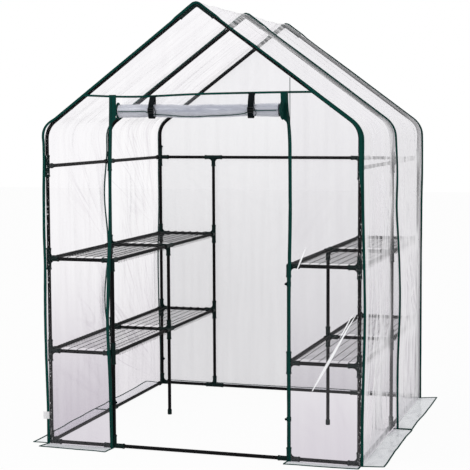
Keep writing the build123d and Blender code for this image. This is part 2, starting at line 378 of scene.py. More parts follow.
def painted_sparkle_band(tree, inner, outer):
    """Small upright painted glints where the front film touches the outer posts."""
    across = calc(tree, "ABSOLUTE", place_parts(tree)["X"])
    painted_flecks = value_between(tree, stretched_noise(tree, (330, 330, 90), 2.0), 0.64, 0.70, 0.0, 0.75)
    past_inner = calc(tree, "GREATER_THAN", across, inner)
    before_outer = calc(tree, "LESS_THAN", across, outer)
    return calc(tree, "MULTIPLY", painted_flecks, calc(tree, "MULTIPLY", past_inner, before_outer))


def solid_material(name, dark, light, roughness, grain, bump, gloss, weave=None):
    """Paint, moulded plastic or woven tape: mottled colour, uneven gloss and a fine surface."""
    material, tree = blank_material(name)
    mottle = stretched_noise(tree, (grain * 0.2,) * 3)
    fine = stretched_noise(tree, (grain,) * 3, 2.0)
    if weave:
        threads = {"Vector": place(tree), "Scale": weave, "Distortion": 0.6}
        waves = [add(tree, "TexWave", threads, bands_direction=way).outputs["Fac"] for way in ("X", "Z")]
        fine = calc(tree, "ADD", *waves)
    values = {
        "Base Color": colour_between(tree, mottle, dark, light),
        "Roughness": value_between(tree, fine, 0.0, 1.0, roughness - 0.07, roughness + 0.09),
        "Specular IOR Level": gloss,
        "Normal": add(tree, "Bump", {"Height": fine, "Strength": bump, "Distance": 0.0006}).outputs[0],
    }
    add(tree, "OutputMaterial", {"Surface": add(tree, "BsdfPrincipled", values).outputs[0]})
    return material


def film_material(
    name, clear, cloudy, haze, milkiness, milk_colour,
    fans=(), painted_glints=(), grain=panel_grain, shaded_milk=None, slant_share=1.0,
):
    """Clear film: tinted where it is creased and where shade is painted, darker towards the bottom, milky at
    a slant, with painted white glints on pinched folds.
    """
    material, tree = blank_material(name)
    # The tint from the mesh: creases, painted shade and darker lower parts
    crease_and_shade = add(tree, "Attribute", attribute_name="crease_and_shade").outputs["Fac"]
    streaks = stretched_noise(tree, grain, 3.0)
    ripples = stretched_noise(tree, [1.6 * part for part in grain], 2.0)
    shade = calc(tree, "ADD", crease_and_shade, value_between(tree, streaks, 0.3, 0.7, -0.03, 0.05))
    # Painted shade: thin darker lines along the fans of creases
    for fan in fans:
        shade = calc(tree, "MULTIPLY_ADD", fan_lines(tree, *fan), fan_strength, shade)
    shade = value_between(tree, shade, 0.0, 1.0, 0.0, 1.0)
    tint = colour_between(tree, shade, clear, cloudy)
    see_through = add(tree, "BsdfTransparent", {"Color": tint}).outputs[0]

    facing = add(tree, "LayerWeight", {"Blend": 0.5}).outputs["Facing"]
    tightness = value_between(tree, place_parts(tree)["Z"], wall_top, wall_top + 0.10, 1.0, roof_haze)
    slant = calc(tree, "MULTIPLY", calc(tree, "POWER", facing, slant_power), tightness)
    stripes = value_between(tree, streaks, 0.36, 0.64, *(slant_share * part for part in slant_haze))
    amount = calc(tree, "MULTIPLY_ADD", slant, stripes, haze)
    amount = calc(tree, "MULTIPLY_ADD", shade, milkiness, amount)

    milk_base = (*milk_colour, 1)
    if shaded_milk:
        # Painted shade: the most shaded parts take the darker milk colour
        painted_shade_depth = value_between(tree, shade, 0.78, 1.0, 0.0, 1.0)
        milk_base = colour_between(tree, painted_shade_depth, milk_colour, shaded_milk)
    if painted_glints:
        # Painted highlights: white glints by the posts and along pinched folds turn the milk white and opaque
        painted_glint_mask = painted_sparkle_band(tree, half_width - 0.009, half_width + 0.012)
        for painted_gleam in painted_glints:
            painted_glint_mask = calc(tree, "MAXIMUM", painted_glint_mask, painted_glint_line(tree, *painted_gleam))
        milk_base = colour_between(tree, painted_glint_mask, milk_colour, painted_glint_colour)
        amount = calc(tree, "MAXIMUM", amount, calc(tree, "MULTIPLY", painted_glint_mask, painted_glint_cover))
    normal = add(tree, "Bump", {"Height": ripples, "Strength": 0.15, "Distance": 0.004}).outputs[0]
    milk_values = {"Base Color": milk_base, "Roughness": film_roughness, "Normal": normal}
    milk = add(tree, "BsdfPrincipled", milk_values).outputs[0]
    amount = calc(tree, "MINIMUM", amount, full_milk)
    add(tree, "OutputMaterial", {"Surface": mixed(tree, amount, see_through, milk)})
    return material


black_paint = solid_material(
    "black_paint", (0.002, 0.002, 0.002), (0.004, 0.004, 0.005),
    roughness=0.42, grain=900, bump=0.15, gloss=0.05,
)
green_plastic = solid_material(
    "green_plastic", (0.001, 0.006, 0.006), (0.002, 0.014, 0.012),
    roughness=0.45, grain=700, bump=0.2, gloss=0.08,
)
black_wire = solid_material(
    "black_wire", (0.003, 0.003, 0.004), (0.008, 0.009, 0.010),
    roughness=0.45, grain=900, bump=0.1, gloss=0.1,
)
zip_plastic = solid_material(
    "zip_plastic", (0.001, 0.012, 0.011), (0.003, 0.026, 0.022),
    roughness=0.3, grain=900, bump=0.1, gloss=0.3,
)
black_plastic = solid_material(
    "black_plastic", (0.003, 0.004, 0.004), (0.008, 0.009, 0.009),
    roughness=0.4, grain=700, bump=0.2, gloss=0.3,
)
green_tape = solid_material(
    "green_tape", (0.0005, 0.030, 0.024), (0.001, 0.058, 0.046),
    roughness=0.62, grain=500, bump=0.5, gloss=0.08, weave=420,
)
black_webbing = solid_material(
    "black_webbing", (0.001, 0.003, 0.004), (0.003, 0.006, 0.008),
    roughness=0.7, grain=500, bump=0.5, gloss=0.06, weave=380,
)
white_label = solid_material(
    "white_label", (0.72, 0.72, 0.74), (0.84, 0.84, 0.85),
    roughness=0.75, grain=600, bump=0.4, gloss=0.5, weave=700,
)

# Fans of fine creases, painted as shaded lines: axis along the wall, side, root (along, up), first and last
# angle, reach, seed
cover_fans = (
    ("Y", -1, 0.70, 0.02, 96, 160, 1.30, 1),
    ("Y", -1, 0.05, 0.80, 92, 150, 0.75, 2),
    ("Y", -1, 0.70, 0.86, 96, 160, 1.00, 3),
    ("Y", 1, -0.68, 0.05, 30, 84, 1.00, 4),
    ("Y", 1, 0.68, 0.42, 98, 150, 0.90, 5),
)

# Painted white glints on the right front panel: two (x, z) ends and a width
front_painted_glints = (
    ((0.478, 0.912), (0.440, 0.820), 0.007),
    ((0.652, 0.572), (0.505, 0.310), 0.012),
    ((0.690, 0.637), (0.632, 0.540), 0.005),
    ((0.676, 0.637), (0.624, 0.540), 0.005),
)

cover_milk = (0.88, 0.86, 0.90)
cover_film = film_material(
    "cover_film", (0.990, 0.982, 0.994), (0.66, 0.62, 0.67), 0.004, 0.08, cover_milk,
    fans=cover_fans, grain=cover_grain,
)
front_film = film_material(
    "front_film", (0.999, 0.997, 1.0), (0.66, 0.62, 0.68), 0.004, 0.06, cover_milk, painted_glints=front_painted_glints
)
# The rear wall: a greyer, more milky copy of the same film, which paints shade on it
shaded_rear_film = film_material(
    "shaded_rear_film", (0.955, 0.952, 0.965), (0.64, 0.63, 0.65), 0.08, 0.28, (0.76, 0.76, 0.78)
)
skirt_film = film_material(
    "skirt_film", (0.96, 0.97, 0.98), (0.62, 0.64, 0.66), 0.02, 0.45, (0.78, 0.79, 0.82),
    slant_share=skirt_haze,
)
# The roll's milk darkens to a painted shade colour along its front
roll_film = film_material(
    "roll_film", (0.985, 0.985, 0.992), (0.76, 0.78, 0.83), 0.01, 0.85, (0.82, 0.83, 0.88),
    shaded_milk=(0.36, 0.38, 0.47),
)


# Frame tubes, moulded connectors and foot caps

shelf_groups = [f"{side}_{level}_shelf" for side in ("left", "right") for level in ("lower", "upper")]
tube_nodes = [
    "front_base_tubes",
    "rear_base_tubes",
    "side_base_tubes",
    "side_eave_bars",
    "rear_eave_bar",
    *[f"{side}_{kind}_posts" for side in ("left", "right") for kind in ("outer", "inner")],
    *[f"{group}_rails" for group in shelf_groups],
]
connector_nodes = ["base_connectors", "eave_connectors", *[f"{group}_connectors" for group in shelf_groups]]
collar_length = 0.007
collar_radius = socket_radius + 0.0012
joint_ring_radius = tube_radius + 0.0008
ball_radius = socket_radius + 0.0006
web_thickness = 0.005
web_reach = 0.028


def make_straight_tubes(node):
    shapes = Shapes()
    for points in solids(node):
        low, high = points.min(axis=0), points.max(axis=0)
        axis = int(np.argmax(high - low))
        start = (low + high) / 2
        start[axis] = low[axis]
        shapes.lathe(start, np.eye(3)[axis], [(0, tube_radius), (high[axis] - low[axis], tube_radius)])
    shapes.make(node + "_round", black_paint, [node])


def socket_profile(length):
    """An arm of a connector, with a collar round its mouth."""
    mouth = length - collar_length
    return [
        (0, socket_radius),
        (mouth - 0.001, socket_radius),
        (mouth, collar_radius),
        (length - 0.001, collar_radius),
        (length, collar_radius - 0.001),
        (length, tube_radius),
    ]


def add_ball(shapes, centre, radius, sides=16):
    turns = [pi * k / 8 for k in range(9)]
    profile = [(radius - radius * cos(t), max(radius * sin(t), 0.0002)) for t in turns]
    shapes.lathe(np.asarray(centre) - (0, 0, radius), (0, 0, 1), profile, sides)


def add_web(shapes, centre, first, second):
    """The plate between two arms, with a round hollow edge."""
    edge = socket_radius - 0.001
    arc = [radians(90) * k / 8 for k in range(1, 8)]
    hollow = web_reach - edge
    corners = [(0, 0), (web_reach, 0), (web_reach, edge)]
    corners += [(web_reach - hollow * sin(t), web_reach - hollow * cos(t)) for t in arc]
    corners += [(edge, web_reach), (0, web_reach)]
    across = np.cross(first, second) * web_thickness / 2
    shapes.loft([[centre + first * a + second * b + across * way for a, b in corners] for way in (-1, 1)])


def place_inside(low, high, places):
    return next(spot for spot in places if low - 0.001 <= spot <= high + 0.001)


def make_connectors(node):
    shapes = Shapes()
    directions = [way * axis for axis in np.eye(3) for way in (1, -1)]
    grid = ((-half_width, -inner_x, inner_x, half_width), rows, levels)
    for points in solids(node):
        low, high = points.min(axis=0), points.max(axis=0)
        centre = np.array([place_inside(low[k], high[k], grid[k]) for k in range(3)])
        around = points - centre
        arms = [d for d in directions if (around @ d).max() > 0.9 * arm_length]
        for arm in arms:
            shapes.lathe(centre, arm, socket_profile((around @ arm).max()))
        add_ball(shapes, centre, ball_radius)
        for i, first in enumerate(arms):
            for second in arms[i + 1:]:
                between = np.minimum(around @ first, around @ second)
                if abs(first @ second) < 0.5 and between.max() > socket_radius + 0.002:
                    add_web(shapes, centre, first, second)
    shapes.make(node + "_moulded", green_plastic, [node])


def add_arch_tube(shapes, s_from, s_to, y, radius, spacing=0.012):
    """A round tube along the arch between two places."""
    count = max(2, int(abs(s_to - s_from) / spacing))
    x, z = outline(np.linspace(s_from, s_to, count))
    shapes.sweep(np.column_stack([x, np.full(count, y), z]), round_section(radius), (0, 1, 0))


def make_arch(row, y):
    shapes = Shapes()
    for side in (-1, 1):
        add_arch_tube(shapes, side * bend_foot, side * ridge_mouth, y, tube_radius)
        ring = (side * (bend_joint - 0.004), side * (bend_joint + 0.004))
        add_arch_tube(shapes, *ring, y, joint_ring_radius, 0.002)
    shapes.make(f"{row}_arch_round", black_paint, [f"{row}_arch_tubes"])


def make_ridge_elbows():
    shapes = Shapes()
    for y in rows:
        add_arch_tube(shapes, -ridge_mouth, ridge_mouth, y, socket_radius)
        for side in (-1, 1):
            collar = (side * (ridge_mouth - collar_length), side * ridge_mouth)
            add_arch_tube(shapes, *collar, y, collar_radius, 0.002)
    shapes.make("ridge_elbows_moulded", green_plastic, ["ridge_elbows"])


def make_foot_caps():
    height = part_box("foot_caps")[1][2]
    rim = socket_radius - 0.001
    profile = [(0, rim), (0.002, socket_radius), (height - 0.002, socket_radius)]
    profile += [(height, rim), (height, tube_radius)]
    shapes = Shapes()
    for side in (-1, 1):
        shapes.lathe((side * inner_x, 0, 0), (0, 0, 1), profile)
    shapes.make("foot_caps_moulded", green_plastic, ["foot_caps"])


for node in tube_nodes:
    make_straight_tubes(node)
for node in connector_nodes:
    make_connectors(node)
for row, y in zip(row_names, rows):
    make_arch(row, y)
make_ridge_elbows()
make_foot_caps()


# Wire mesh shelves

short_wire_radius = 0.0007
long_wire_radius = 0.0013
long_wire_pitch = 0.040
short_wire_pitch = 0.0285
edge_wire_inset = 0.020
hook_length = 0.012
loop_radius = 0.0038


def hooked_wire(y, rail_height, side):
    """A short wire across the shelf, turned down past both rails into small loops."""
    reach = tube_radius + 1.5 * short_wire_radius
    bend_turns = [radians(a) for a in (0, 30, 60, 90)]
    loop_turns = [radians(a) for a in range(0, 316, 45)]
    ends = []
    for end, x in ((-1, inner_x), (1, half_width)):
        loop_x, loop_z = x + end * (reach - loop_radius), rail_height - hook_length
        bend = [(x + end * reach * sin(t), rail_height + reach * cos(t)) for t in bend_turns]
        loop = [(loop_x + end * loop_radius * cos(t), loop_z - loop_radius * sin(t)) for t in loop_turns]
        ends.append(bend + loop)
    return [(side * x, y, z) for x, z in ends[0][::-1] + ends[1]]


def make_mesh_shelves(side_name, side, level, rail_height):
    shapes = Shapes()
    short_section = round_section(short_wire_radius, 6)
    long_section = round_section(long_wire_radius, 6)
    top = rail_height + tube_radius + long_wire_radius
    cross_top = top + long_wire_radius + short_wire_radius
    for y_from, y_to in zip(rows, rows[1:]):
        room = y_to - y_from - 2 * arm_length
        short_count = round(room / short_wire_pitch)
        for index in range(short_count):
            y = y_from + arm_length + (index + 0.5) * room / short_count
            shapes.sweep(hooked_wire(y, rail_height, side), short_section, (0, 1, 0))
        width = half_width - inner_x - 2 * arm_length
        long_count = round(width / long_wire_pitch)
        for index in range(long_count + 1):
            x = side * (inner_x + arm_length + index * width / long_count)
            path = [(x, y_from - tube_radius * 0.8, top - 0.004), (x, y_from + 0.006, cross_top)]
            path += [(x, y_to - 0.006, cross_top), (x, y_to + tube_radius * 0.8, top - 0.004)]
            shapes.sweep(path, long_section, (1, 0, 0))
        for x in (inner_x + edge_wire_inset, half_width - edge_wire_inset):
            edge = [(side * x, y_from + arm_length, cross_top), (side * x, y_to - arm_length, cross_top)]
            shapes.sweep(edge, long_section, (1, 0, 0))
    shapes.make(f"{side_name}_{level}_wires", black_wire, [f"{side_name}_{level}_mesh_shelves"])


for side_name, side in both_sides:
    for level, height in (("lower", lower_rail), ("upper", upper_rail)):
        make_mesh_shelves(side_name, side, level, height)


# The film cover

grid_spacing = 0.010
film_foot = 0.0006
seam_spread = 0.07
roof_sink = 0.005
cover_ridge = 0.0022

# Where the seams hang proud of the posts: side, row, height, half length, how far
seam_bulges = (
    (-1, rows[0], 0.50, 0.40, 0.006),
    (-1, rows[0], 1.00, 0.30, 0.004),
    (-1, rows[1], 1.08, 0.24, 0.016),
    (-1, rows[1], 0.56, 0.26, 0.021),
    (-1, rows[2], 0.60, 0.50, 0.009),
    (1, rows[0], 0.66, 0.52, 0.010),
    (1, rows[1], 0.62, 0.60, 0.024),
    (1, rows[1], 1.20, 0.20, 0.008),
    (1, rows[2], 1.22, 0.22, 0.003),
    (1, rows[1], 0.0, 0.45, 0.016),
    (-1, rows[0], 1.405, 0.07, 0.007),
)

# Fans of creases on the walls: side, y and height of the root, first and last angle, count, length
crease_fans = (
    (-1, 0.68, 0.03, 100, 158, 9, 0.85),
    (-1, 0.02, 0.03, 98, 155, 9, 0.80),
    (-1, 0.68, 0.86, 100, 160, 7, 0.75),
    (-1, 0.00, 0.84, 96, 150, 8, 0.70),
    (1, -0.66, 0.05, 40, 84, 8, 0.80),
    (1, 0.66, 0.40, 100, 140, 6, 0.70),
    (1, -0.02, 0.86, 96, 150, 6, 0.60),
)


def crease_lines(u, v, root_u, root_v, angle_from, angle_to, count, length, seed):
    """Thin ridges that run out from one place: 1 on a ridge's line and 0 away from it."""
    draws = np.random.RandomState(seed)
    total = np.zeros_like(u)
    for angle in np.linspace(angle_from, angle_to, count):
        angle = radians(angle + draws.uniform(-3, 3))
        start, reach = draws.uniform(0.04, 0.25), length * draws.uniform(0.6, 1.0)
        du, dv = u - root_u, v - root_v
        along = du * cos(angle) + dv * sin(angle)
        across = dv * cos(angle) - du * sin(angle)
        bow = 0.02 * draws.uniform(-1, 1) * np.sin(pi * np.clip(along / reach, 0, 1))
        width = 0.006 + 0.010 * np.clip(along / reach, 0, 1)
        fade = step(along, start, start + 0.08) * (1 - step(along, reach - 0.15, reach))
        total += draws.uniform(0.4, 1.0) * fade * np.exp(-(((across - bow) / width) ** 2))
    return total


def cover_lift(s, y):
    """How far the cover stands out from its plain outline, and its tint: creases with painted shade along
    them, darker towards the bottom.
    """
    side = np.where(s < 0, -1, 1)
    height = arch_length - np.abs(s)
    wall = 1 - step(height, wall_top - 0.02, wall_top + 0.10)
    near_row = np.min([np.abs(y - row) for row in rows], axis=0)
    near_level = np.min([np.abs(height - level) for level in levels], axis=0)
    slack = step(near_row, 0.015, 0.16) * (1 - wall * (1 - step(near_level, 0.005, 0.10)))
    wave = 0.006 * noise(s, y, 0.45, 0.34, 3) + 0.003 * noise(s, y, 0.30, 0.10, 4)
    wave += 0.0014 * noise(s, y, 0.22, 0.035, 5) + 0.0007 * noise(s, y, 0.10, 0.016, 6)
    wave -= roof_sink * (1 - wall)
    lift = np.where(wave > 0, wave * (0.25 + 0.75 * slack), wave * slack)
    past_elbow = step(np.abs(s), ridge_elbow_leg + 0.008, ridge_elbow_leg + 0.04)
    lift = lift - (film_middle - tube_radius - 0.0008) * (1 - wall) * (1 - slack) * past_elbow
    for bulge_side, row, centre, half, amount in seam_bulges:
        shape = np.cos(np.clip((height - centre) / half, -1, 1) * pi / 2) ** 2
        lift = lift + (side == bulge_side) * amount * shape * np.exp(-(((y - row) / seam_spread) ** 2))
    crease_and_shade = np.zeros_like(s)
    for index, (fan_side, *fan) in enumerate(crease_fans):
        crease_and_shade = crease_and_shade + (side == fan_side) * wall * crease_lines(y, height, *fan, 20 + index)
    lift = lift + cover_ridge * crease_and_shade * (0.2 + 0.8 * slack)
    folds = np.clip(noise(s, y, 0.5, 0.020, 9), 0, 1) ** 2 * (0.3 + 0.7 * slack)
    # Darker towards the bottom of the walls, more so on the right
    low = np.where(side < 0, 0.58, 0.78) * (1 - step(height, -0.15, 1.15))
    # Tint: darker lower parts, painted shade along the creases and random folds
    return lift, low + 0.12 * crease_and_shade + 0.06 * folds


def add_film(name, x, y, z, crease_and_shade, material, nodes):
    """A piece of film through a grid of points."""
    points = np.column_stack([x.ravel(), y.ravel(), z.ravel()])
    index = np.arange(x.size).reshape(x.shape)
    quads = np.stack([index[:-1, :-1], index[1:, :-1], index[1:, 1:], index[:-1, 1:]], axis=-1).reshape(-1, 4)
    mesh = new_mesh(name, points.tolist(), quads.tolist())
    # The tint attribute: creases, painted shade and darker lower parts
    layer = mesh.attributes.new("crease_and_shade", "FLOAT", "POINT")
    layer.data.foreach_set("value", np.asarray(crease_and_shade, dtype=np.float32).ravel())
    piece = finish_piece(mesh, name, material, nodes, film_smooth_angle)


def make_cover():
    line_s = np.linspace(-arch_length, arch_length, int(2 * arch_length / grid_spacing))
    line_y = np.linspace(-panel_y, panel_y, int(2 * panel_y / grid_spacing))
    s, y = np.meshgrid(line_s, line_y, indexing="ij")
    lift, crease_and_shade = cover_lift(s, y)
    x, z = outline(s, film_middle + lift)
    z = np.maximum(z, film_foot)
    nodes = ["left_wall_film", "right_wall_film", "left_roof_film", "right_roof_film"]
    add_film("cover", x, y, z, crease_and_shade, cover_film, nodes)


def cover_edge(height, row_y):
    """How far out the cover's edge stands at a height, on the left and on the right."""
    s = np.linspace(0, arch_length, 900)
    edges = []
    for side in (-1, 1):
        lift, _ = cover_lift(side * s, np.full_like(s, row_y))
        x, z = outline(side * s, film_middle + lift)
        edges.append(np.interp(height, z[::-1], x[::-1]))
    return edges


def top_of_cover(row_y):
    """The highest place of a panel, just under the cover's ridge."""
    lift, _ = cover_lift(np.zeros(1), np.full(1, row_y))
    return float(outline(np.zeros(1), film_middle + lift)[1][0]) - 0.0008


# Where the door's edges hang: height and distance from the middle
left_jamb = (
    (0.0, 0.405), (0.30, 0.409), (0.55, 0.419), (0.75, 0.411), (0.95, 0.401), (1.25, 0.396), (1.557, 0.389)
)
right_jamb = (
    (0.0, 0.404), (0.40, 0.403), (0.70, 0.405), (1.05, 0.411), (1.38, 0.410), (1.50, 0.395), (1.557, 0.395)
)
jamb_softness = 0.05


def jamb_x(height, side):
    """The door's edge, which hangs in slow waves between its header and the ground."""
    heights, places = zip(*(left_jamb if side < 0 else right_jamb))
    shifts = np.linspace(-jamb_softness, jamb_softness, 7)
    return side * np.mean([np.interp(height + shift, heights, places) for shift in shifts], axis=0)


def header_sag(x):
    """The header's seam hangs a little left of the middle."""
    return -0.012 * np.exp(-(((x + 0.27) / 0.28) ** 2))


def panel_wave(x, z, seed, amount=1.0):
    """How far a front or rear panel stands out, and how creased it is."""
    out = 0.0035 * noise(x, z, 0.22, 0.5, seed) + 0.0018 * noise(x, z, 0.06, 0.35, seed + 1)
    out += 0.0008 * noise(x, z, 0.02, 0.25, seed + 2)
    folds = np.clip(noise(x, z, 0.022, 0.40, seed + 3), 0, 1) ** 2
    return amount * (0.004 + out), folds


def panel_heights(z_from, z_to):
    return np.linspace(z_from, z_to, max(3, int((z_to - z_from) / grid_spacing)))


def panel_grid(heights, left, right, columns):
    """A grid between two upright edges, which are given as x at these heights."""
    share = np.linspace(0, 1, columns)
    x = left[:, None] * (1 - share) + right[:, None] * share
    return x, np.repeat(heights[:, None], columns, axis=1)


def seam_hold(x, z, row_y):
    """0 along the cover's edge and 1 away from it."""
    left, right = cover_edge(z[:, 0], row_y)
    return step(np.minimum(x - left[:, None], right[:, None] - x), 0.0, 0.06)


def make_front_side_panel(name, side):
    heights = panel_heights(film_foot, header_height)
    left, right = cover_edge(heights, -panel_y)
    if side < 0:
        right = jamb_x(heights, side)
    else:
        left = jamb_x(heights, side)
    x, z = panel_grid(heights, left, right, 44)
    z = z + header_sag(x) * step(z, header_height - 0.30, header_height)
    out, folds = panel_wave(x, z, 40 + side)
    lines = crease_lines(side * x, z, half_width, 0.03, 98, 150, 7, 0.6, 50 + side)
    lines += crease_lines(side * x, z, door_half_width, 0.80, 40, 84, 5, 0.5, 53 + side)
    y = -panel_y - seam_hold(x, z, -panel_y) * (out + 0.002 * lines)
    # Tint: clearer on the left, darker towards the bottom, painted shade along the creases and random folds
    crease_and_shade = (0.02 if side < 0 else 0.09) + 0.80 * (1 - step(z, -0.05, 0.80)) + 0.04 * lines + 0.05 * folds
    nodes = [f"front_{name}_film"]
    add_film(f"front_{name}_panel", x, y, z, crease_and_shade, front_film, nodes)


def make_gable_panel():
    top = top_of_cover(-panel_y)
    heights = panel_heights(header_height, top)
    x, z = panel_grid(heights, *cover_edge(heights, -panel_y), 90)
    z = z + header_sag(x) * (1 - step(z, header_height, header_height + 0.12))
    out, folds = panel_wave(x, z, 60)
    lines = crease_lines(x, z, 0.0, top, 215, 325, 9, 0.5, 61)
    hold = seam_hold(x, z, -panel_y)
    y = -panel_y - hold * (out + 0.0015 * lines) * step(z, header_height, header_height + 0.05)
    # Tint: painted shade along the creases and random folds
    crease_and_shade = 0.03 + 0.06 * lines + 0.04 * folds
    flat = (2 * cover_edge(np.array([header_height]), -panel_y)[1][0], top - header_height)
    nodes, rests = ["front_gable_film"], ["front_arch_round"]
    add_film("gable_panel", x, y, z, crease_and_shade, front_film, nodes)


def make_rear_panel():
    heights = panel_heights(film_foot, top_of_cover(panel_y))
    x, z = panel_grid(heights, *cover_edge(heights, panel_y), 144)
    out, folds = panel_wave(x, z, 70, 1.3)
    lines = crease_lines(x, z, -0.66, 1.26, 280, 345, 8, 0.8, 71)
    lines += crease_lines(x, z, 0.40, 1.26, 200, 262, 8, 0.9, 72)
    lines += crease_lines(x, z, 0.0, 1.9, 230, 310, 9, 0.6, 73)
    y = panel_y + seam_hold(x, z, panel_y) * (out + 0.0012 * lines)
    # Tint: darker towards the bottom, painted shade along the creases and random folds
    crease_and_shade = 0.12 + 0.38 * (1 - step(z, 0.3, 1.7)) + 0.03 * lines + 0.06 * folds
    nodes, rests = ["rear_wall_film"], ["rear_arch_round", "rear_eave_bar_round"]
    add_film("rear_panel", x, y, z, crease_and_shade, shaded_rear_film, nodes)


make_cover()
for name, side in both_sides:
    make_front_side_panel(name, side)
make_gable_panel()
make_rear_panel()


# Ground skirts and their green hems

hem_width = 0.0065
hem_thickness = 0.003
corner_gap = 0.004
bay_gap = 0.002
skirt_start = half_width + film_gap + film_thickness


def skirt_flap(name, node, start, along, out, length, widths, pulls, darkness, seed):
    """Makes one flap on the ground and returns the line of its free edges.

    Its width, and how far its outer corner is drawn in, are given at each end.
    """
    start, along, out = (np.array(v, float) for v in (start, along, out))
    lines_a, lines_b = np.linspace(0, length, max(8, int(length / 0.012))), np.linspace(0, 1, 11)
    a, across = np.meshgrid(lines_a, lines_b, indexing="ij")
    share = a / length
    b = across * (widths[0] + (widths[1] - widths[0]) * share)
    a = a + across * (pulls[0] * (1 - share) - pulls[1] * share)
    reach = b + across * 0.003 * noise(a, b, 0.12, 1.0, seed)
    rise = 0.0014 + 0.0012 * noise(a, b, 0.08, 0.05, seed + 1)
    rise = rise + 0.004 * np.clip(noise(a, b, 0.16, 0.2, seed + 2), 0, 1)
    spots = start + a[..., None] * along + reach[..., None] * out
    x, y = spots[..., 0], spots[..., 1]
    # Each flap's film is tinted to its own darkness, with random patches
    crease_and_shade = darkness + (0.08 + 0.5 * darkness) * np.clip(noise(a, b, 0.05, 0.02, seed + 3), 0, 1)
    add_film(name, x, y, rise, crease_and_shade, skirt_film, [node])
    surface = np.dstack([x, y, rise + 0.0006])
    return np.concatenate([surface[0], surface[1:, -1], surface[-1, -2::-1]])


def skirt_flaps():
    """Name, node, start, direction along and out, length, widths and pulls at both ends, and how dark the
    film is.
    """
    side_length = panel_y - bay_gap
    front_length = skirt_start - door_half_width - corner_gap
    left_shapes = (((0.072, 0.084), (-0.007, 0.002), 0.04), ((0.084, skirt_width), (0.002, -0.010), 0.04))
    right_shapes = (((skirt_width, 0.086), (0.022, 0.002), 0.62), ((0.086, 0.084), (0.002, -0.036), 0.55))
    flaps = []
    for (name, side), shapes in zip(both_sides, (left_shapes, right_shapes)):
        for part, y, shape in zip(("front", "rear"), (-panel_y, bay_gap), shapes):
            run = ((side * skirt_start, y, 0), (0, 1, 0), (side, 0, 0), side_length)
            flaps.append((f"{name}_{part}", f"{name}_skirt", *run, *shape))
    left_end = corner_gap - skirt_start
    front_shapes = (
        ("front_left", left_end, (0.060, 0.078), (-0.020, 0.008), 0.95),
        ("front_right", door_half_width, (0.054, 0.044), (-0.006, 0.0), 0.75),
    )
    for name, x, *shape in front_shapes:
        flaps.append((name, "front_skirts", (x, -panel_y, 0), (1, 0, 0), (0, -1, 0), front_length, *shape))
    rear_shape = ((skirt_width, skirt_width), (0.003, 0.003), 0.10)
    rear_run = ((left_end, panel_y, 0), (1, 0, 0), (0, 1, 0), -2 * left_end)
    flaps.append(("rear", "rear_skirt", *rear_run, *rear_shape))
    return flaps


def make_skirts():
    hems = Shapes()
    for index, (name, *flap) in enumerate(skirt_flaps()):
        rim = skirt_flap(f"{name}_skirt_film", *flap, 80 + 5 * index)
        hems.sweep(rim, flat_section(hem_width, hem_thickness), (0, 0, 1))
    hems.make("skirt_hems", green_tape)


make_skirts()


# Green bindings, header tape and zipper tapes

binding_thickness = 0.0024
binding_foot = 0.001
left_wall_binding = 0.006
right_wall_binding = 0.0088
roof_binding = {"front": 0.0022, "middle": 0.0065, "rear": 0.0055}
front_leg_width = 0.010
left_leg_width = 0.0085
thin_leg_width = 0.002
zip_tape_width = 0.015
zip_tooth_pitch = 0.004
zip_head_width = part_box("door_zipper_tapes")[1][0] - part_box("rolled_door")[1][0] - 0.002

# How far ahead of the front film each layer lies
leg_layers = (0.0018, 0.0032)
header_layer = 0.0022
zip_layer = 0.0052
tie_layer = 0.0062
tail_layer = 0.008
upright_seam_layer = 0.0105


def binding_reach(row, s):
    """How far a seam's binding stands out: less over the roof, where it is drawn flat."""
    on_wall = step(np.abs(s), rafter_end, eave_end)
    wall = np.where(s < 0, left_wall_binding, right_wall_binding)
    return roof_binding[row] + (wall - roof_binding[row]) * on_wall


def make_seam_binding(row, row_y, seam_y):
    """A folded tape that stands out along a seam and follows its waves."""
    s = np.linspace(-arch_length + 0.002, arch_length - 0.002, 521)
    lift, _ = cover_lift(s, np.full_like(s, seam_y))
    reach = binding_reach(row, s) + 0.0012 * wander(s, 0.12, 95)
    sway = 0.0016 * wander(s, 0.10, 90 + int(10 * row_y)) + 0.0008 * wander(s, 0.03, 91)
    near_x, near_z = outline(s, film_middle + lift - 0.001)
    far_x, far_z = outline(s, film_middle + lift + reach)
    near_places = np.column_stack([near_x, np.full_like(s, seam_y), np.maximum(near_z, binding_foot)])
    far_places = np.column_stack([far_x, seam_y + sway, np.maximum(far_z, binding_foot)])
    side = np.array((0, binding_thickness / 2, 0))
    edge = side * 0.4
    rings = []
    for near, far in zip(near_places, far_places):
        shoulder = far - (far - near) * 0.06
        rings.append([near - side, near + side, shoulder + side, far + edge, far - edge, shoulder - side])
    shapes = Shapes()
    shapes.loft(rings)
    if row == "front":
        add_front_leg(shapes, s, lift)
    shapes.make(f"{row}_seam_tape", green_tape, [f"{row}_seam_binding"])


def add_front_leg(shapes, s, lift):
    """The binding's other half, which lies on the front film and on the right hides the tube."""
    height = arch_length - np.abs(s)
    below_header = step(np.abs(s), 0.54, 0.66)
    right = step(height, 1.12, 1.24) * (0.3 + 0.7 * below_header)
    leg = np.where(s > 0, thin_leg_width + front_leg_width * right, left_leg_width)
    near_x, near_z = outline(s, film_middle + lift - leg)
    far_x, far_z = outline(s, film_middle + lift + 0.001)
    near_z, far_z = (np.maximum(z, binding_foot) for z in (near_z, far_z))
    back, front = (-panel_y - layer for layer in leg_layers)
    rings = []
    for ix, iz, ox, oz in zip(near_x, near_z, far_x, far_z):
        rings.append([(ix, back, iz), (ox, back, oz), (ox, front, oz), (ix, front, iz)])
    shapes.loft(rings)


